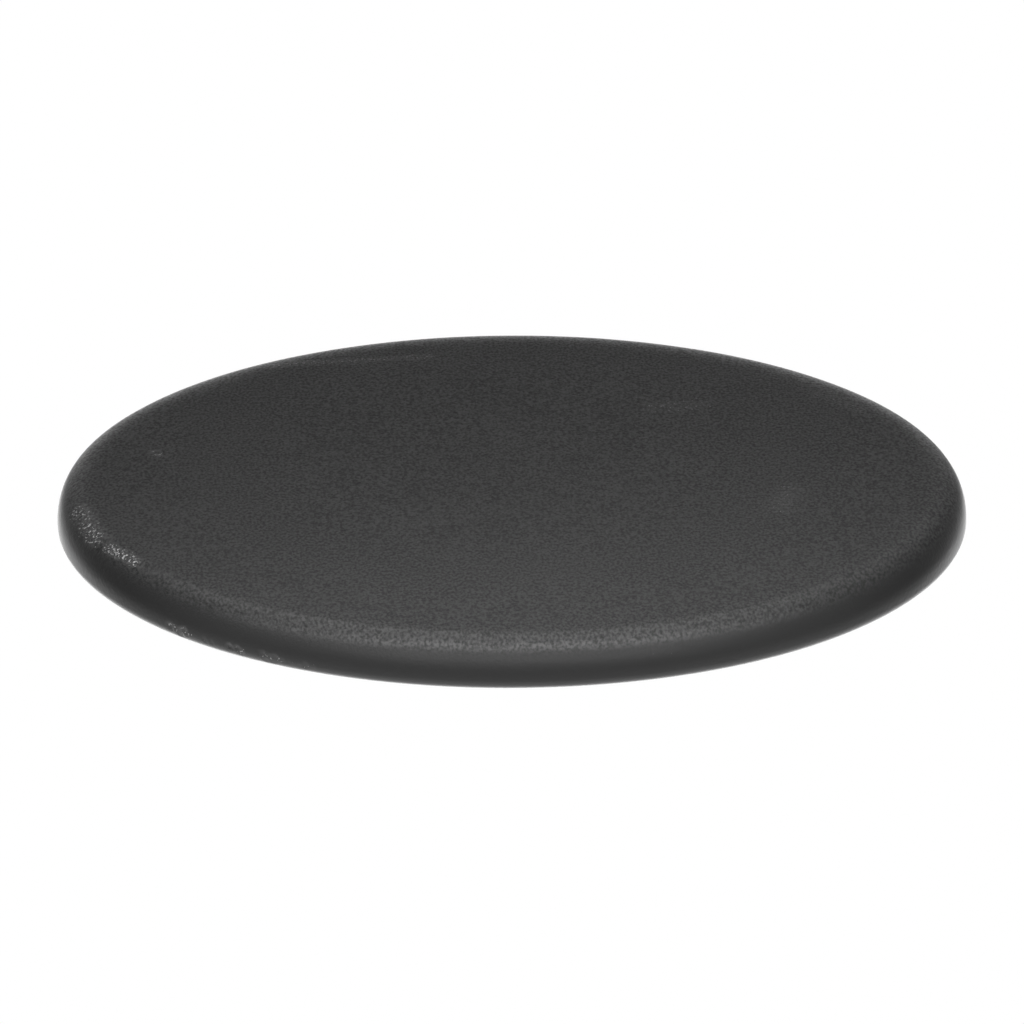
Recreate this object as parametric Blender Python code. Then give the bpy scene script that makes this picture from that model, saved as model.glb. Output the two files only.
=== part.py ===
"""Flat oval massage stone: one piece of honed basalt, about a hand wide.

The stone is a single solid. In plan it is an ellipse, long along X. In section it has, from
the top down, a barely crowned working face, a broad soft shoulder, its widest line low on the
rim, a tighter rounded edge below that, and a flat resting face on z = 0.
"""

import math

import bmesh
import bpy
from mathutils import Matrix, Vector

# Driving dimensions, in metres.
LENGTH = 0.140
WIDTH = 0.126
CROWN_RISE = 0.0008
SHOULDER_RUN = 0.0062
SHOULDER_DROP = 0.0059
EDGE_RUN = 0.0031
EDGE_RISE = 0.0020

# How square each rounding is: 2 is an ellipse's quarter, and more fills the corner.
SHOULDER_POWER = 2.3
EDGE_POWER = 2.0

# How finely the curves are faceted.
SIDES = 96
CROWN_RINGS = 6
SHOULDER_STEPS = 10
EDGE_STEPS = 5

# Finish of honed basalt.
BASALT_COLOUR = (0.050, 0.050, 0.052, 1.0)
BASALT_ROUGHNESS = 0.6

HALF_LENGTH = LENGTH / 2
FACE_REACH = HALF_LENGTH - SHOULDER_RUN
FOOT_REACH = HALF_LENGTH - EDGE_RUN
WELD_DISTANCE = 1e-7


def clear_scene():
    """Remove every object that the scene starts with."""
    for stale in list(bpy.data.objects):
        bpy.data.objects.remove(stale, do_unlink=True)


def basalt():
    """Return the dark, matte, non-metallic stone finish."""
    material = bpy.data.materials.new("basalt")
    material.use_nodes = True
    shader = material.node_tree.nodes["Principled BSDF"]
    shader.inputs["Base Color"].default_value = BASALT_COLOUR
    shader.inputs["Roughness"].default_value = BASALT_ROUGHNESS
    shader.inputs["Metallic"].default_value = 0.0
    material.diffuse_color = BASALT_COLOUR
    return material


def rounded_quarter(run, rise, power, turn):
    """Return (along, up) on a superellipse quarter: turn 0 is its flat end and 1 its steep end."""
    angle = turn * math.pi / 2
    along = run * math.sin(angle) ** (2 / power)
    up = rise * math.cos(angle) ** (2 / power)
    return along, up


def crown(reach):
    """Return how far the working face's dome stands at this distance from the middle."""
    return CROWN_RISE * (1 - (reach / HALF_LENGTH) ** 2)


def half_section():
    """Return the section's points from the top's middle, round the rim, to the foot's middle."""
    points = []
    for ring in range(CROWN_RINGS):
        reach = FACE_REACH * ring / CROWN_RINGS
        points.append(Vector((reach, 0, EDGE_RISE + SHOULDER_DROP + crown(reach))))
    for step in range(SHOULDER_STEPS + 1):
        along, up = rounded_quarter(SHOULDER_RUN, SHOULDER_DROP, SHOULDER_POWER, step / SHOULDER_STEPS)
        reach = FACE_REACH + along
        points.append(Vector((reach, 0, EDGE_RISE + up + crown(reach))))
    for step in range(EDGE_STEPS - 1, -1, -1):
        along, down = rounded_quarter(EDGE_RUN, EDGE_RISE, EDGE_POWER, step / EDGE_STEPS)
        points.append(Vector((FOOT_REACH + along, 0, EDGE_RISE - down)))
    points.append(Vector((0, 0, 0)))
    return points


def turned_body(section):
    """Spin the half section into a closed round body about Z."""
    body = bmesh.new()
    corners = [body.verts.new(point) for point in section]
    edges = [body.edges.new(pair) for pair in zip(corners, corners[1:])]
    bmesh.ops.spin(
        body,
        geom=corners + edges,
        cent=(0, 0, 0),
        axis=(0, 0, 1),
        angle=2 * math.pi,
        steps=SIDES,
        use_merge=True,
    )
    bmesh.ops.remove_doubles(body, verts=body.verts, dist=WELD_DISTANCE)
    bmesh.ops.recalc_face_normals(body, faces=body.faces)
    return body


def stone():
    """Make the stone: the round body drawn in across Y to its oval plan."""
    body = turned_body(half_section())
    bmesh.ops.transform(body, matrix=Matrix.Diagonal((1, WIDTH / LENGTH, 1, 1)), verts=body.verts)
    mesh = bpy.data.meshes.new("stone")
    body.to_mesh(mesh)
    body.free()
    mesh.shade_smooth()
    mesh.materials.append(basalt())
    made = bpy.data.objects.new("stone", mesh)
    bpy.context.scene.collection.objects.link(made)
    return made


clear_scene()
stone()
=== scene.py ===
"""Looks of a flat oval massage stone of honed basalt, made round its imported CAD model.

The stone is one solid piece, so one finely faceted shell stands for it. Its section is the CAD
model's: a barely crowned working face, a broad soft shoulder, a low widest line, a tighter foot
edge and a flat foot. Only towards the back does the face roll into the shoulder sooner than the
CAD model's. The shell adds what a quarried and hand-honed stone has: a slightly wandering
surface, bruised stretches on the rim, nicks along the foot edge, faint scuffs and fine grit.

All lengths are in metres.
"""

from __future__ import annotations

import logging
import math
import random
from dataclasses import dataclass, field, replace
from enum import Enum

import bmesh
import bpy
from mathutils import Matrix, Vector, noise


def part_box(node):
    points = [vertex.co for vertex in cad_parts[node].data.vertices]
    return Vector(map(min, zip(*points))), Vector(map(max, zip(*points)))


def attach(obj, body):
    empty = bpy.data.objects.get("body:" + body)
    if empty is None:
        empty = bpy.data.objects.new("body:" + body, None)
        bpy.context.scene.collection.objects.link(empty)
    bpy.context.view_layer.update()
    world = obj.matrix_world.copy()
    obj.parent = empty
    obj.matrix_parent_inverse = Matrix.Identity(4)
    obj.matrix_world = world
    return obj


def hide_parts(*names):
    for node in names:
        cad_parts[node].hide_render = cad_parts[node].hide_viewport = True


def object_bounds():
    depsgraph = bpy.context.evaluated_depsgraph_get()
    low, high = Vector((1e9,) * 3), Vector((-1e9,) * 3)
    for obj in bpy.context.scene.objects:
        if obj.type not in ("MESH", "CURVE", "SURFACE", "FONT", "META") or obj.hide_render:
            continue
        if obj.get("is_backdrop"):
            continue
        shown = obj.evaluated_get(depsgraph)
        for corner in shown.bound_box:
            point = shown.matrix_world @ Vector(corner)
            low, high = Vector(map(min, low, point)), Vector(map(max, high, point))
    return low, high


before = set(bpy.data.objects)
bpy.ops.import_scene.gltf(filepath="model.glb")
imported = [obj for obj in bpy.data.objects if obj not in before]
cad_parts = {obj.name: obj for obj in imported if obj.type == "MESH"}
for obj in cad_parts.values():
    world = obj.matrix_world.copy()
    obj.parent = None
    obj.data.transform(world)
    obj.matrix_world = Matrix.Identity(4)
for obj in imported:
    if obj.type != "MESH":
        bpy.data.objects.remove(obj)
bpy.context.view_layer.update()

LOG = logging.getLogger("massage_stone")

Colour = tuple[float, float, float, float]
Step = tuple[float, float]
Line = tuple[Vector, Vector]


def grey(shade: float) -> Colour:
    """Return the opaque grey of this shade, from 0, black, to 1, white."""
    return (shade, shade, shade, 1.0)


class Socket:
    """A number socket of a shader, on which arithmetic adds Math nodes."""

    def __init__(self, bench: ShaderBench, output: bpy.types.NodeSocket) -> None:
        """Wrap an output socket.

        Args:
            bench: The shader bench that new nodes are added to.
            output: The socket that carries the number.
        """
        self.bench = bench
        self.output = output

    def __add__(self, other: Socket | float) -> Socket:
        """Return this plus the other."""
        return self.bench.maths("ADD", self, other)

    def __radd__(self, other: float) -> Socket:
        """Return the other plus this."""
        return self.bench.maths("ADD", other, self)

    def __sub__(self, other: Socket | float) -> Socket:
        """Return this less the other."""
        return self.bench.maths("SUBTRACT", self, other)

    def __rsub__(self, other: float) -> Socket:
        """Return the other less this."""
        return self.bench.maths("SUBTRACT", other, self)

    def __mul__(self, other: Socket | float) -> Socket:
        """Return this times the other."""
        return self.bench.maths("MULTIPLY", self, other)

    def __rmul__(self, other: float) -> Socket:
        """Return the other times this."""
        return self.bench.maths("MULTIPLY", other, self)

    def between(self, low: float, high: float) -> Socket:
        """Return 0 up to low and 1 from high, with a smooth step between them.

        Args:
            low: Where the step starts. It may be the larger of the two, for a falling step.
            high: Where the step ends.

        Returns:
            The stepped number.
        """
        rising = self if low < high else 0.0 - self
        ends = (low, high) if low < high else (-low, -high)
        step = self.bench.node(
            "ShaderNodeMapRange",
            {"interpolation_type": "SMOOTHSTEP"},
            {"Value": rising, "From Min": ends[0], "From Max": ends[1]},
        )
        return Socket(self.bench, step.outputs["Result"])


class ShaderBench:
    """Where one material's or one world's nodes are put together."""

    def __init__(self, owner: bpy.types.Material | bpy.types.World) -> None:
        """Clear the owner's node tree and keep it.

        Args:
            owner: The material or world whose nodes are made here.
        """
        owner.use_nodes = True
        self.tree = owner.node_tree
        self.tree.nodes.clear()

    def node(self, kind: str, settings: dict | None = None, values: dict | None = None) -> bpy.types.Node:
        """Add one node.

        Args:
            kind: The node's type.
            settings: Its properties, which are set before its sockets.
            values: What each input socket holds, or is linked to, by name or number.

        Returns:
            The new node.
        """
        made = self.tree.nodes.new(kind)
        for name, setting in (settings or {}).items():
            setattr(made, name, setting)
        for name, value in (values or {}).items():
            self.plug(made.inputs[name], value)
        return made

    def plug(self, into: bpy.types.NodeSocket, value: object) -> None:
        """Set an input socket's value, or link an output to it.

        Args:
            into: The input socket.
            value: A wrapped or plain output socket to link, or the value to hold.
        """
        if isinstance(value, Socket):
            self.tree.links.new(value.output, into)
        elif isinstance(value, bpy.types.NodeSocket):
            self.tree.links.new(value, into)
        else:
            into.default_value = value

    def maths(self, operation: str, *values: Socket | float) -> Socket:
        """Return the result of a Math node on these values."""
        made = self.node("ShaderNodeMath", {"operation": operation}, dict(enumerate(values)))
        return Socket(self, made.outputs[0])

    def mixed(
        self,
        factor: Socket,
        first: bpy.types.NodeSocket | Colour,
        second: bpy.types.NodeSocket | Colour,
    ) -> bpy.types.NodeSocket:
        """Return a colour that goes from the first to the second with the factor."""
        made = self.node("ShaderNodeMix", {"data_type": "RGBA"}, {0: factor, 6: first, 7: second})
        return made.outputs[2]

    def cloud(self, place: bpy.types.NodeSocket, size: float, detail: float = 1.0) -> Socket:
        """Return smooth noise from 0 to 1.

        Args:
            place: The position that the noise reads.
            size: How far apart its blobs are.
            detail: How many finer layers it has, each half as strong as the last.

        Returns:
            The noise as a number socket.
        """
        made = self.node(
            "ShaderNodeTexNoise",
            {"noise_dimensions": "3D"},
            {"Vector": place, "Scale": 1 / size, "Detail": detail, "Roughness": 0.5},
        )
        return Socket(self, made.outputs[0])


class Station(Enum):
    """Named places along the half section, from the top's middle outwards and under."""

    FACE_EDGE = 1.0
    RIM = 2.0
    FOOT = 3.0


@dataclass(frozen=True)
class StoneSection:
    """Half section of the stone, with the same proportions as the CAD model's.

    A station tells a place along it: 0 to 1 is the working face, 1 to 2 the shoulder, which
    ends at the widest line, and 2 to 3 the foot edge.

    Attributes:
        half_length: Half of the oval's length, at the widest line.
        half_width: Half of the oval's width there.
        height: How tall the stone is.
        crown_rise: How far the face's dome rises, from the widest line in to the middle.
        shoulder_run: How broad the shoulder is.
        edge_run: How broad the foot edge is.
        edge_rise: How high the widest line is.
        shoulder_power: How full the shoulder's curve is. 2 is a plain ellipse.
        edge_power: How full the foot edge's curve is.
    """

    half_length: float
    half_width: float
    height: float
    crown_rise: float = 0.0008
    shoulder_run: float = 0.0062
    edge_run: float = 0.0031
    edge_rise: float = 0.0020
    shoulder_power: float = 2.3
    edge_power: float = 2.0

    @classmethod
    def from_box(cls, low: Vector, high: Vector) -> StoneSection:
        """Return the section that fills a box centred on Z.

        Args:
            low: The box's lowest corner.
            high: The box's highest corner.

        Returns:
            The section.
        """
        return cls((high.x - low.x) / 2, (high.y - low.y) / 2, high.z - low.z)

    @property
    def shoulder_drop(self) -> float:
        """Return how far the shoulder falls, from the face's edge to the widest line."""
        return self.height - self.edge_rise - self.crown_rise

    @property
    def squeeze(self) -> float:
        """Return the plan's width over its length."""
        return self.half_width / self.half_length

    def crown(self, reach: float) -> float:
        """Return how far the face's dome stands at this distance from the middle."""
        return self.crown_rise * (1 - (reach / self.half_length) ** 2)

    def top(self, reach: float) -> float:
        """Return the height of the face or shoulder.

        Args:
            reach: The distance from the middle, before the plan is drawn in to its oval.

        Returns:
            The height over the foot.
        """
        outward = min(max(reach - self.half_length + self.shoulder_run, 0) / self.shoulder_run, 1)
        fall = (1 - outward**self.shoulder_power) ** (1 / self.shoulder_power)
        return self.edge_rise + self.shoulder_drop * fall + self.crown(reach)

    def point(self, station: float) -> Vector:
        """Return the section's point at a station, in the XZ plane.

        Args:
            station: From 0, the top's middle, to 3, the edge of the flat foot.

        Returns:
            The point, with y at 0.
        """
        face_reach = self.half_length - self.shoulder_run
        if station <= Station.FACE_EDGE.value:
            reach = face_reach * station
            return Vector((reach, 0, self.edge_rise + self.shoulder_drop + self.crown(reach)))
        if station <= Station.RIM.value:
            angle = (station - Station.FACE_EDGE.value) * math.pi / 2
            power = 2 / self.shoulder_power
            reach = face_reach + self.shoulder_run * math.sin(angle) ** power
            up = self.shoulder_drop * max(math.cos(angle), 0) ** power
            return Vector((reach, 0, self.edge_rise + up + self.crown(reach)))
        angle = (Station.FOOT.value - station) * math.pi / 2
        power = 2 / self.edge_power
        reach = self.half_length - self.edge_run * (1 - math.sin(angle) ** power)
        return Vector((reach, 0, self.edge_rise * (1 - max(math.cos(angle), 0) ** power)))

    def on_stone(self, bearing: float, station: float) -> Vector:
        """Return the stone's surface point at a bearing and a station.

        Args:
            bearing: Turn about Z from +X in degrees, before the plan is drawn in to its oval.
            station: Place along the half section.

        Returns:
            The point on the stone.
        """
        flat = self.point(station)
        turn = math.radians(bearing)
        return Vector((flat.x * math.cos(turn), flat.x * math.sin(turn) * self.squeeze, flat.z))


def away_from(line: Line, point: Vector) -> float:
    """Return how far a point is from a line's nearest place.

    Args:
        line: The line's two ends.
        point: The point.

    Returns:
        The distance.
    """
    start, end = line
    along = end - start
    share = min(max((point - start).dot(along) / along.length_squared, 0), 1)
    return (point - start - along * share).length


@dataclass(frozen=True)
class Scar:
    """The round hollow that one flake has left."""

    centre: Vector
    radius: float
    depth: float

    def depth_at(self, point: Vector) -> float:
        """Return how deep the hollow is at a point, which is 0 outside it."""
        away = (point - self.centre).length / self.radius
        return self.depth * max(1 - away * away, 0)


@dataclass(frozen=True)
class Flakes:
    """The flakes that have been knocked off along a mark.

    Attributes:
        count: How many there are.
        size: A usual radius of their scars.
        depth: How deep the deepest scars are.
        seed: Where their random draws start.
        scatter: How far they stray from the mark's middle line, over the mark's breadth.
        upright_scatter: How much of that straying is up or down.
        sizes: The smallest and largest scar over the usual radius.
        depths: The shallowest and deepest scar over the depth.
    """

    count: int
    size: float
    depth: float
    seed: int
    scatter: float = 0.4
    upright_scatter: float = 0.5
    sizes: Step = (0.5, 1.2)
    depths: Step = (0.4, 1.0)


@dataclass(frozen=True)
class Mark:
    """A worn stretch of the stone: a knock with flakes off it, or a scuff with none.

    Attributes:
        name: What the mark is called.
        start: Bearing and station of one end of its middle line.
        end: Bearing and station of the other end.
        breadth: How far the wear reaches from the middle line.
        strength: How worn the middle line is, from 0 to 1.
        flakes: The flakes knocked off it, if any.
        fade: How quickly the wear falls off across the breadth.
    """

    name: str
    start: tuple[float, float]
    end: tuple[float, float]
    breadth: float
    strength: float
    flakes: Flakes | None = None
    fade: float = 1.5

    def line(self, section: StoneSection) -> Line:
        """Return the two ends of the mark's middle line on the stone."""
        return section.on_stone(*self.start), section.on_stone(*self.end)

    def wear_at(self, point: Vector, line: Line) -> float:
        """Return how worn the surface is at a point.

        Args:
            point: Where on the stone.
            line: The mark's middle line.

        Returns:
            A number from 0, sound, to the mark's strength on its middle line.
        """
        away = away_from(line, point) / self.breadth
        return self.strength * max(1 - away * away, 0) ** self.fade

    def scars(self, section: StoneSection) -> list[Scar]:
        """Return the hollows that the mark's flakes have left.

        Args:
            section: The stone's section.

        Returns:
            One scar for each flake.
        """
        if self.flakes is None:
            return []
        flakes = self.flakes
        pick = random.Random(flakes.seed)
        made = []
        for _ in range(flakes.count):
            share = pick.random()
            bearing = self.start[0] + (self.end[0] - self.start[0]) * share
            station = self.start[1] + (self.end[1] - self.start[1]) * share
            stray = Vector((pick.gauss(0, 1), pick.gauss(0, 1), pick.gauss(0, flakes.upright_scatter)))
            centre = section.on_stone(bearing, station) + stray * self.breadth * flakes.scatter
            radius = flakes.size * pick.uniform(*flakes.sizes)
            made.append(Scar(centre, radius, flakes.depth * pick.uniform(*flakes.depths)))
        return made


def handling_marks() -> list[Mark]:
    """Return the stone's worn places: knocks on the rim and foot edge, and faint scuffs on the face.

    Returns:
        The marks.
    """
    return [
        Mark("left_upper", (187.6, 1.36), (198.4, 1.36), 0.0026, 0.78, Flakes(18, 0.0007, 0.00012, 11)),
        Mark("left_lower", (202.2, 1.32), (209.3, 1.24), 0.0015, 0.95, Flakes(22, 0.0008, 0.00014, 12)),
        Mark("foot_first", (220.5, 1.98), (223.2, 2.00), 0.0011, 0.80, Flakes(9, 0.0009, 0.00020, 13)),
        Mark("foot_second", (230.7, 2.00), (232.7, 2.05), 0.0009, 0.85, Flakes(6, 0.0008, 0.00018, 14)),
        Mark("foot_third", (235.8, 2.02), (238.5, 2.06), 0.0009, 0.80, Flakes(7, 0.0008, 0.00016, 15)),
        Mark("foot_long", (224.0, 2.04), (243.0, 2.10), 0.0008, 0.40, Flakes(14, 0.0006, 0.00010, 16)),
        Mark("front_right", (283.6, 1.71), (291.9, 1.77), 0.0012, 0.08, Flakes(18, 0.0006, 0.00004, 17)),
        Mark("back_left_scuff", (101.3, 0.87), (124.5, 0.99), 0.0018, 0.60),
        Mark("left_speck", (166.3, 0.89), (167.9, 0.87), 0.0011, 0.80),
        Mark("back_right_scuff", (25.5, 0.97), (35.2, 0.94), 0.0014, 0.42),
        Mark("right_scuff", (44.5, 0.67), (50.8, 0.58), 0.0040, 0.36),
        Mark("right_face_scuff", (338.0, 0.68), (349.5, 0.68), 0.0040, 0.34),
    ]


@dataclass(frozen=True)
class HonedBasalt:
    """Finish of dark basalt honed to a soft, dull sheen, with its mineral grit just showing.

    A polish over the stone, which the grit breaks up, gives the sheen. Below the rim's heights the grit is
    evened out and the colour darkened, as painted shade of the rim, and below the edge's heights the surface
    is smoother.

    Attributes:
        dark_grit: The darkest grains.
        pale_grit: The palest grains.
        rim_shade_colour: The even, darker grey painted on the rim as its shade.
        bruise_colour: Freshly broken stone.
        rim_shade_heights: The heights over which the grit is evened out and darkened, as painted shade.
        rim_shade_calm: How far that painted shade goes there, from 0 to 1.
        edge_heights: The heights over which the surface turns smoother.
        grit_size: How far apart the grains are.
        grit_step: The noise's levels for the darkest and the palest grains.
        grit_stretch: What the place is multiplied by, to draw the grains out along Y.
        gloss: How strongly the stone under the polish reflects.
        roughness: How dull that reflection is on the face.
        rim_roughness: How dull it is on the smoother rim.
        bruise_roughness: How dull it is on broken stone.
        polish_hardness: The polish's index of refraction.
        polish_roughness: How dull the polish is.
        least_polish: How polished the darkest grains are.
        grit_polish: How much more polished the palest grains are.
        rim_polish: How polished the rim is.
        mottle_size: How broad the slow patches in the grit are.
        mottle_depth: How strong they are.
        grain_size: How far apart the coarser bumps are.
        fine_grain_size: How far apart the finer bumps are.
        coarse_share: How much of the relief is the coarser bumps.
        grain_relief: How high the bumps are.
        rim_smoothing: How much of the relief the rim lacks.
        fleck_size: How far apart a mark's pale flecks are.
        fleck_gain: How much wear raises the flecks' noise.
        fleck_step: The noise's levels for no fleck and a whole fleck.
        bruise_step: The wear at which flecks start, and at which they are full.
        scuff_step: The wear at which paleness starts, and at which it is full.
        scuff_paleness: How pale scuffed stone gets, over broken stone.
    """

    dark_grit: Colour = grey(0.042)
    pale_grit: Colour = grey(0.066)
    rim_shade_colour: Colour = grey(0.045)
    bruise_colour: Colour = grey(0.60)
    rim_shade_heights: Step = (0.0070, 0.0055)
    rim_shade_calm: float = 0.85
    edge_heights: Step = (0.0064, 0.0044)
    grit_size: float = 0.00042
    grit_step: Step = (0.25, 0.75)
    grit_stretch: tuple[float, float, float] = (1.0, 0.62, 1.0)
    gloss: float = 0.15
    roughness: float = 0.47
    rim_roughness: float = 0.30
    bruise_roughness: float = 0.75
    polish_hardness: float = 1.6
    polish_roughness: float = 0.42
    least_polish: float = 0.08
    grit_polish: float = 0.84
    rim_polish: float = 0.35
    mottle_size: float = 0.012
    mottle_depth: float = 0.10
    grain_size: float = 0.0006
    fine_grain_size: float = 0.00032
    coarse_share: float = 0.6
    grain_relief: float = 0.0002
    rim_smoothing: float = 0.7
    fleck_size: float = 0.0004
    fleck_gain: float = 0.24
    fleck_step: Step = (0.75, 0.84)
    bruise_step: Step = (0.02, 0.3)
    scuff_step: Step = (0.0, 0.6)
    scuff_paleness: float = 0.05

    def grit(self, bench: ShaderBench, place: bpy.types.NodeSocket, shade_calm: Socket) -> Socket:
        """Return the grit, from 0 for its darkest grains to 1 for its palest.

        Args:
            bench: The material's shader bench.
            place: The position on the stone.
            shade_calm: How far the grit is evened out on the rim, as painted shade, from 0 to 1.

        Returns:
            The grit as a number socket.
        """
        mottle = bench.cloud(place, self.mottle_size, detail=3.0) - 0.5
        drawn = bench.node(
            "ShaderNodeVectorMath", {"operation": "MULTIPLY"}, {0: place, 1: self.grit_stretch}
        ).outputs[0]
        grit = bench.cloud(drawn, self.grit_size) + mottle * self.mottle_depth
        grit = grit.between(*self.grit_step)
        # On the rim the grit is pulled towards its middle, as painted shade that hides the grain there.
        return grit + (0.5 - grit) * shade_calm

    def bruised(self, bench: ShaderBench, place: bpy.types.NodeSocket, wear: Socket) -> Socket:
        """Return where the stone is freshly broken, as pale flecks within its marks.

        Args:
            bench: The material's shader bench.
            place: The position on the stone.
            wear: How worn the surface is.

        Returns:
            A number socket, which is 1 on a fleck.
        """
        fleck = (bench.cloud(place, self.fleck_size) + wear * self.fleck_gain).between(*self.fleck_step)
        return fleck * wear.between(*self.bruise_step)

    def bumps(self, bench: ShaderBench, place: bpy.types.NodeSocket, smooth: Socket) -> bpy.types.NodeSocket:
        """Return the normal of the open grain's small bumps.

        Args:
            bench: The material's shader bench.
            place: The position on the stone.
            smooth: How smooth the surface is, from 0 to 1.

        Returns:
            The normal's output socket.
        """
        coarse = bench.cloud(place, self.grain_size) * self.coarse_share
        fine = bench.cloud(place, self.fine_grain_size) * (1 - self.coarse_share)
        relief = (coarse + fine) * (1.0 - smooth * self.rim_smoothing)
        bump = bench.node("ShaderNodeBump", None, {"Distance": self.grain_relief, "Height": relief})
        return bump.outputs["Normal"]

    def material(self) -> bpy.types.Material:
        """Build the finish as a node material.

        Returns:
            The material.
        """
        made = bpy.data.materials.new("honed_basalt")
        bench = ShaderBench(made)
        place = bench.node("ShaderNodeTexCoord").outputs["Object"]
        height = Socket(bench, bench.node("ShaderNodeSeparateXYZ", None, {0: place}).outputs[2])
        wear_node = bench.node("ShaderNodeAttribute", {"attribute_name": "wear"})
        wear = Socket(bench, wear_node.outputs["Fac"])

        # Painted shade: below the rim's heights the grit is evened out and the colour darkened.
        shade_calm = height.between(*self.rim_shade_heights) * self.rim_shade_calm
        smooth = height.between(*self.edge_heights)
        grit = self.grit(bench, place, shade_calm)
        bruised = self.bruised(bench, place, wear)

        rough = self.roughness + smooth * (self.rim_roughness - self.roughness)
        rough = rough + bruised * (self.bruise_roughness - self.roughness)
        polish = (self.least_polish + grit * self.grit_polish) * (1.0 - smooth)
        polish = (polish + smooth * self.rim_polish) * (1.0 - bruised)
        colour = bench.mixed(grit, self.dark_grit, self.pale_grit)
        # Painted shade: the rim's colour is turned to an even, darker grey.
        colour = bench.mixed(shade_calm, colour, self.rim_shade_colour)
        scuffed = wear.between(*self.scuff_step) * self.scuff_paleness
        colour = bench.mixed(scuffed, colour, self.bruise_colour)
        colour = bench.mixed(bruised, colour, self.bruise_colour)

        shader = bench.node(
            "ShaderNodeBsdfPrincipled",
            None,
            {
                "Base Color": colour,
                "Roughness": rough,
                "Normal": self.bumps(bench, place, smooth),
                "Specular IOR Level": self.gloss,
                "Coat Weight": polish,
                "Coat IOR": self.polish_hardness,
                "Coat Roughness": self.polish_roughness,
            },
        )
        bench.node("ShaderNodeOutputMaterial", None, {"Surface": shader.outputs["BSDF"]})
        return made


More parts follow.
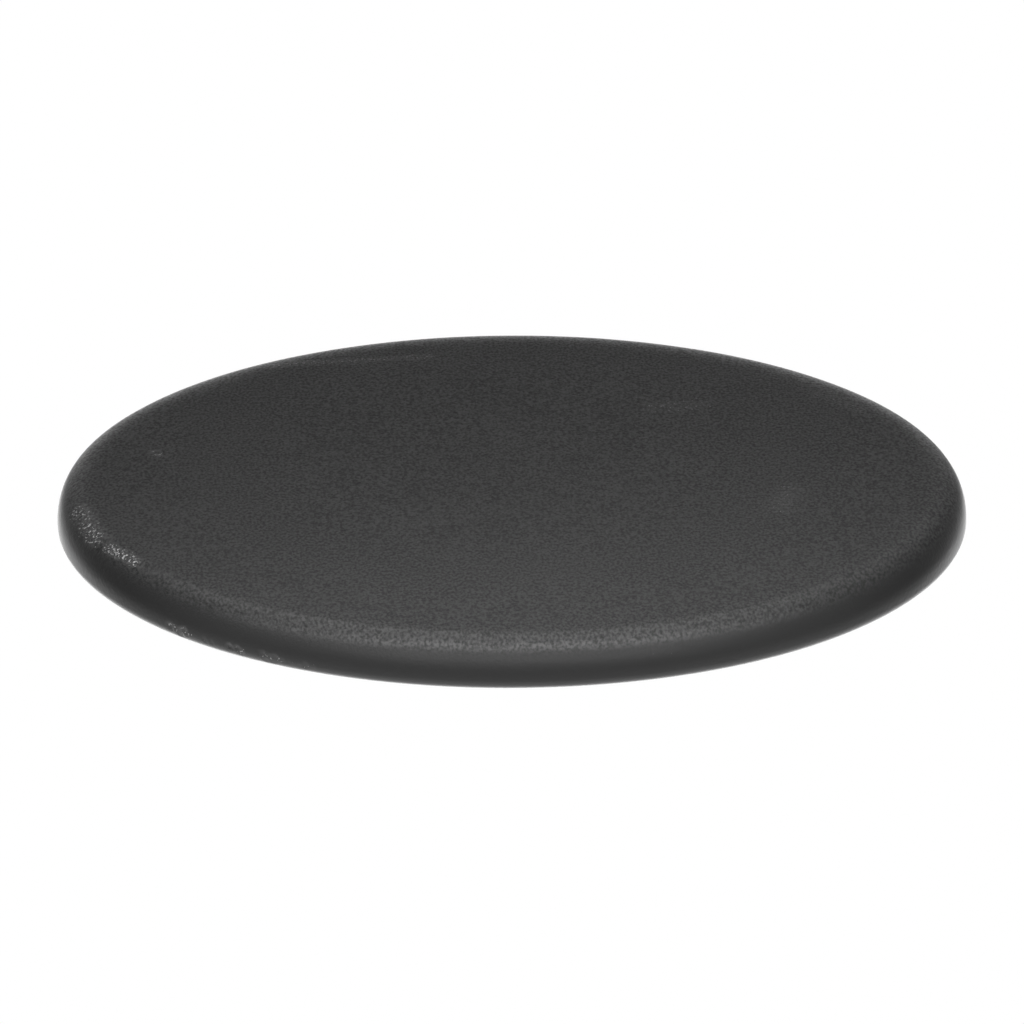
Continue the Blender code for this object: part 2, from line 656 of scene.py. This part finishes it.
@dataclass
class StoneShell:
    """The stone's visible shell.

    Attributes:
        section: The stone's half section.
        finish: What its surface looks like.
        marks: Its worn places.
        sides: How many facets go round it.
        doublings: How often the spun wedge is doubled to go all the way round.
        face_rings: How many rings the face has.
        shoulder_steps: How many the shoulder has.
        edge_steps: How many the foot edge has.
        foot_rings: How many the flat foot has.
        weld_distance: How near two corners are that become one.
        mark_cuts: How many cuts an edge gets near a mark.
        mark_margin: How far past a mark's breadth the cuts go.
        rim_zone: The share of the half width past which marks are cut finer.
        most_slant: How much of its length an edge that is cut may run down or outwards.
        wander: How far the honed surface wanders in and out.
        wander_size: How far apart its swells are.
        ripple: How deep the finer ripple on it is.
        ripple_size: How far apart the ripples are.
        back_crown_rise: The dome's rise towards the back.
        back_shoulder_run: How broad the shoulder is towards the back.
        back_shoulder_power: How full its curve is there.
        back_blend: The share of the half width over which the back's shape takes over.
    """

    section: StoneSection
    finish: HonedBasalt = field(default_factory=HonedBasalt)
    marks: list[Mark] = field(default_factory=handling_marks)
    sides: int = 576
    doublings: int = 4
    face_rings: int = 56
    shoulder_steps: int = 52
    edge_steps: int = 20
    foot_rings: int = 3
    weld_distance: float = 1e-7
    mark_cuts: int = 3
    mark_margin: float = 0.0012
    rim_zone: float = 0.8
    most_slant: float = 0.5
    wander: float = 0.00006
    wander_size: float = 0.026
    ripple: float = 0.000012
    ripple_size: float = 0.0055
    back_crown_rise: float = 0.0004
    back_shoulder_run: float = 0.0120
    back_shoulder_power: float = 3.0
    back_blend: float = 0.6

    def outline(self) -> list[Vector]:
        """Return the half section's points, from the top's middle round to the foot's middle.

        Returns:
            The points, in the XZ plane.
        """
        face = [ring / self.face_rings for ring in range(self.face_rings)]
        shoulder = [
            Station.FACE_EDGE.value + step / self.shoulder_steps for step in range(self.shoulder_steps)
        ]
        edge = [Station.RIM.value + step / self.edge_steps for step in range(self.edge_steps + 1)]
        points = [self.section.point(station) for station in face + shoulder + edge]
        foot_reach = points[-1].x
        for ring in range(self.foot_rings - 1, -1, -1):
            points.append(Vector((foot_reach * ring / self.foot_rings, 0, 0)))
        return points

    def turned(self) -> bmesh.types.BMesh:
        """Spin the section into the closed round body and draw it in to its oval plan.

        A narrow wedge is spun, then doubled until it goes all the way round.

        Returns:
            The body as a bmesh.
        """
        body = bmesh.new()
        corners = [body.verts.new(point) for point in self.outline()]
        edges = [body.edges.new(pair) for pair in zip(corners, corners[1:])]
        wedge = 2 * math.pi / 2**self.doublings
        bmesh.ops.spin(
            body,
            geom=corners + edges,
            cent=(0, 0, 0),
            axis=(0, 0, 1),
            angle=wedge,
            steps=self.sides // 2**self.doublings,
        )
        for doubling in range(self.doublings):
            shape = body.verts[:] + body.edges[:] + body.faces[:]
            copied = bmesh.ops.duplicate(body, geom=shape)["geom"]
            fresh = [part for part in copied if isinstance(part, bmesh.types.BMVert)]
            turn = Matrix.Rotation(wedge * 2**doubling, 4, "Z")
            bmesh.ops.transform(body, matrix=turn, verts=fresh)
        bmesh.ops.remove_doubles(body, verts=body.verts, dist=self.weld_distance)
        bmesh.ops.recalc_face_normals(body, faces=body.faces)
        squeeze = Matrix.Diagonal((1, self.section.squeeze, 1, 1))
        bmesh.ops.transform(body, matrix=squeeze, verts=body.verts)
        body.normal_update()
        return body

    def ease_back(self, body: bmesh.types.BMesh) -> None:
        """Make the back of the face fuller, so that it rolls into the shoulder sooner there.

        Args:
            body: The stone's body.
        """
        eased = replace(
            self.section,
            crown_rise=self.back_crown_rise,
            shoulder_run=self.back_shoulder_run,
            shoulder_power=self.back_shoulder_power,
        )
        for corner in body.verts:
            if corner.co.z > self.section.edge_rise and corner.co.y > 0:
                reach = math.hypot(corner.co.x, corner.co.y / self.section.squeeze)
                share = min(corner.co.y / (self.section.half_width * self.back_blend), 1)
                share *= share * (3 - 2 * share)
                corner.co.z += share * (eased.top(reach) - self.section.top(reach))
        body.normal_update()

    def refine_marks(self, body: bmesh.types.BMesh) -> None:
        """Cut the edges that run round the rim finer, wherever flakes are to be knocked off.

        Args:
            body: The stone's body.
        """
        lines = [(mark.line(self.section), mark.breadth + self.mark_margin) for mark in self.marks]
        chosen = []
        for edge in body.edges:
            start, end = (corner.co for corner in edge.verts)
            middle = (start + end) / 2
            slant = abs(start.z - end.z) + abs(start.xy.length - end.xy.length)
            on_face = middle.xy.length < self.section.half_width * self.rim_zone
            if on_face or slant > edge.calc_length() * self.most_slant:
                continue
            if any(away_from(line, middle) < reach for line, reach in lines):
                chosen.append(edge)
        bmesh.ops.subdivide_edges(body, edges=chosen, cuts=self.mark_cuts, use_grid_fill=True)
        body.normal_update()

    def weather(self, body: bmesh.types.BMesh) -> None:
        """Move the surface in and out as honing and knocks have, and note how worn each point is.

        Args:
            body: The stone's body.
        """
        wear_layer = body.verts.layers.float.new("wear")
        lines = [(mark, mark.line(self.section)) for mark in self.marks]
        scars = [scar for mark in self.marks for scar in mark.scars(self.section)]
        moves = []
        for corner in body.verts:
            place = corner.co
            wander = noise.noise(place / self.wander_size) * self.wander
            ripple = noise.noise(place / self.ripple_size) * self.ripple
            wear = max(mark.wear_at(place, line) for mark, line in lines)
            inward = max(scar.depth_at(place) for scar in scars) if wear > 0 else 0.0
            # The foot stays flat, so the swells fade out below the widest line.
            settle = min(place.z / self.section.edge_rise, 1)
            moves.append(corner.normal * ((wander + ripple) * settle - inward))
            corner[wear_layer] = wear
        for corner, move in zip(body.verts, moves):
            corner.co += move
            corner.co.z = max(corner.co.z, 0)

    def build(self) -> bpy.types.Object:
        """Make the shell as a scene object and give it its finish.

        Returns:
            The object, at the origin, with its place in its mesh.
        """
        body = self.turned()
        self.ease_back(body)
        self.refine_marks(body)
        self.weather(body)
        bmesh.ops.recalc_face_normals(body, faces=body.faces)
        mesh = bpy.data.meshes.new("basalt_stone")
        body.to_mesh(mesh)
        body.free()
        mesh.shade_smooth()
        mesh.materials.append(self.finish.material())
        made = bpy.data.objects.new("basalt_stone", mesh)
        bpy.context.scene.collection.objects.link(made)
        return made


@dataclass(frozen=True)
class Softbox:
    """A soft studio light.

    Attributes:
        name: What the light is called.
        place: Where it hangs.
        aim: What it points at.
        width: How wide it is.
        depth: How deep it is.
        glow: How bright its surface is.
    """

    name: str
    place: tuple[float, float, float]
    aim: tuple[float, float, float]
    width: float
    depth: float
    glow: float

    def hang(self) -> bpy.types.Object:
        """Place the light and turn it to its aim.

        Returns:
            The light object.
        """
        lamp = bpy.data.lights.new(self.name, "AREA")
        lamp.shape = "RECTANGLE"
        lamp.size = self.width
        lamp.size_y = self.depth
        lamp.energy = self.glow * math.pi * self.width * self.depth
        made = bpy.data.objects.new(self.name, lamp)
        made.location = self.place
        made.visible_camera = False
        made.rotation_mode = "QUATERNION"
        way = Vector(self.aim) - Vector(self.place)
        made.rotation_quaternion = way.to_track_quat("-Z", "Y")
        bpy.context.scene.collection.objects.link(made)
        return made


def studio_softboxes() -> list[Softbox]:
    """Return the lights: small ones low over the stone's front, and wide ones further off.

    Returns:
        The softboxes.
    """
    front = (0.0, -0.04, 0.0)
    middle = (0.0, 0.0, 0.0)
    return [
        Softbox("near_spot", (0.0, -0.08, 0.08), front, 0.12, 0.03, 4.61),
        Softbox("near_left", (-0.08, -0.07, 0.07), (-0.05, -0.03, 0.0), 0.05, 0.03, 2.16),
        Softbox("near_right", (0.08, -0.07, 0.07), (0.05, -0.03, 0.0), 0.05, 0.03, 2.16),
        Softbox("low_strip", (0.0, -0.12, 0.06), front, 0.25, 0.04, 0.43),
        Softbox("front_panel", (0.0, -1.07, 0.54), middle, 1.7, 0.35, 2.01),
        Softbox("top_panel", (0.0, 0.54, 1.07), middle, 1.2, 0.35, 2.26),
    ]


@dataclass(frozen=True)
class Card:
    """A pale card or sheet of paper round the stone, which shows in its gloss.

    A step that isn't given leaves that way open. One whose first end is the larger falls.

    Attributes:
        name: What the card is called.
        glow: How bright it is.
        aside: The step on how far to either side a direction goes.
        back: The step on how far back it goes. Forwards is less than 0.
        rise: The step on how far up it goes, at the card's foot.
        fall: The falling step on how far up it goes, at the card's top.
    """

    name: str
    glow: float
    aside: Step | None = None
    back: Step | None = None
    rise: Step | None = None
    fall: Step | None = None

    def shine(self, aside: Socket, back: Socket, up: Socket) -> Socket | float:
        """Return how bright the card makes each direction.

        Args:
            aside: How far to either side the direction goes.
            back: How far back it goes.
            up: How far up it goes.

        Returns:
            The brightness.
        """
        steps = ((aside, self.aside), (back, self.back), (up, self.rise), (up, self.fall))
        bright = self.glow
        for way, ends in steps:
            if ends:
                bright = bright * way.between(*ends)
        return bright


def studio_cards() -> list[Card]:
    """Return the cards: one low in front, the white table and floor, and what stands behind.

    Returns:
        The cards.
    """
    return [
        Card("low_front_card", 0.36, back=(0.3, -0.4), rise=(-0.2, 0.0), fall=(0.7, 0.3)),
        Card("table", 0.44, fall=(-0.4, -0.9)),
        Card("table_edge", 0.96, fall=(-0.1, -0.6)),
        Card("table_front", 0.28, back=(0.2, -0.3), fall=(-0.2, -0.6)),
        Card("table_sides", 0.58, aside=(0.1, 0.3), back=(0.3, 0.9), fall=(-0.12, -0.3)),
        Card("floor_sides", 0.32, aside=(0.3, 0.8), fall=(-0.1, -0.4)),
        Card("horizon", 0.26, back=(0.3, 0.9), fall=(0.12, -0.05)),
        Card("horizon_middle", 1.36, aside=(0.35, 0.15), back=(0.3, 0.9), fall=(0.12, -0.05)),
        Card("back_band", 0.21, back=(0.3, 0.9), rise=(-0.15, 0.0), fall=(0.2, 0.05)),
        Card("back_sides", 0.53, aside=(0.06, 0.25), back=(0.6, 0.9), rise=(0.2, 0.35)),
    ]


@dataclass
class Studio:
    """White floor, pale surroundings and soft lights.

    Attributes:
        floor_side: How wide the floor is.
        floor_gap: How far under the stone's foot it lies.
        bounce: How much light comes up from below, which only the stone's dull colour takes.
        bounce_step: The heights of a direction over which that light takes over.
        softboxes: The lights.
        cards: What the stone's gloss shows.
    """

    floor_side: float = 6.0
    floor_gap: float = 0.0002
    bounce: float = 0.26
    bounce_step: Step = (0.0, -0.3)
    softboxes: list[Softbox] = field(default_factory=studio_softboxes)
    cards: list[Card] = field(default_factory=studio_cards)

    def floor(self) -> bpy.types.Object:
        """Lay the white floor, which lights nothing and takes no shadow.

        Returns:
            The floor object.
        """
        body = bmesh.new()
        bmesh.ops.create_grid(body, x_segments=1, y_segments=1, size=self.floor_side / 2)
        bmesh.ops.translate(body, vec=(0, 0, -self.floor_gap), verts=body.verts)
        mesh = bpy.data.meshes.new("studio_floor")
        body.to_mesh(mesh)
        body.free()
        paper = bpy.data.materials.new("white_paper")
        bench = ShaderBench(paper)
        glow = bench.node("ShaderNodeEmission", None, {"Color": grey(1.0), "Strength": 1.0})
        bench.node("ShaderNodeOutputMaterial", None, {"Surface": glow.outputs[0]})
        mesh.materials.append(paper)
        made = bpy.data.objects.new("studio_floor", mesh)
        made.visible_diffuse = False
        made.visible_glossy = False
        made.visible_shadow = False
        bpy.context.scene.collection.objects.link(made)
        made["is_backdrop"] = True
        return made

    def surroundings(self) -> None:
        """Set the world: white where it shows, and the cards where the stone's gloss meets it."""
        world = bpy.data.worlds.new("studio")
        bpy.context.scene.world = world
        bench = ShaderBench(world)
        place = bench.node("ShaderNodeTexCoord").outputs["Generated"]
        split = bench.node("ShaderNodeSeparateXYZ", None, {0: place})
        aside = bench.maths("ABSOLUTE", Socket(bench, split.outputs[0]))
        back = Socket(bench, split.outputs[1])
        up = Socket(bench, split.outputs[2])
        rays = bench.node("ShaderNodeLightPath")
        seen = Socket(bench, rays.outputs["Is Camera Ray"])
        gloss = Socket(bench, rays.outputs["Is Glossy Ray"])
        dull = Socket(bench, rays.outputs["Is Diffuse Ray"])
        shine = sum(card.shine(aside, back, up) for card in self.cards)
        bounced = up.between(*self.bounce_step) * self.bounce
        strength = seen + gloss * shine + dull * bounced
        light = bench.node("ShaderNodeBackground", None, {"Color": grey(1.0), "Strength": strength})
        bench.node("ShaderNodeOutputWorld", None, {"Surface": light.outputs[0]})

    def set_up(self) -> None:
        """Lay the floor, set the surroundings and hang the lights."""
        self.floor()
        self.surroundings()
        for softbox in self.softboxes:
            softbox.hang()


@dataclass(frozen=True)
class CameraStand:
    """Camera that looks down at the stone from in front with a long lens.

    Attributes:
        azimuth: Its turn about Z from straight in front, in degrees, towards +X.
        elevation: How steeply it looks down, in degrees.
        distance: How far it is from its aim.
        lens: Its focal length in millimetres.
        sensor: Its sensor's width in millimetres.
        aim_height: How high its aim is over the middle of the stone's foot.
        clip: The nearest and furthest that it sees.
    """

    azimuth: float = -2.48
    elevation: float = 23.1
    distance: float = 1.3152
    lens: float = 300.0
    sensor: float = 36.0
    aim_height: float = 0.00225
    clip: Step = (0.01, 20.0)

    def set_up(self) -> bpy.types.Object:
        """Place the camera and make it the scene's own.

        Returns:
            The camera object.
        """
        turn, rise = math.radians(self.azimuth), math.radians(self.elevation)
        back = Vector((math.sin(turn) * math.cos(rise), -math.cos(turn) * math.cos(rise), math.sin(rise)))
        lens = bpy.data.cameras.new("camera")
        lens.lens = self.lens
        lens.sensor_width = self.sensor
        lens.clip_start, lens.clip_end = self.clip
        made = bpy.data.objects.new("camera", lens)
        made.location = Vector((0, 0, self.aim_height)) + back * self.distance
        made.rotation_mode = "QUATERNION"
        made.rotation_quaternion = (-back).to_track_quat("-Z", "Y")
        bpy.context.scene.collection.objects.link(made)
        bpy.context.scene.camera = made
        return made


def main() -> None:
    """Build the stone, its finish, the studio and the camera, and report each piece."""
    logging.basicConfig(level=logging.INFO, format="%(name)s: %(message)s")
    low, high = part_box("stone")
    section = StoneSection.from_box(Vector(low), Vector(high))

    shell = StoneShell(section).build()
    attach(shell, "root")
    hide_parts("stone")
    LOG.info("%s has %d faces", shell.name, len(shell.data.polygons))

    Studio().set_up()
    CameraStand().set_up()
    bpy.context.scene.view_settings.view_transform = "Standard"
    LOG.info("studio and camera are set")

    low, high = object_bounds()


if __name__ == "__main__":
    main()
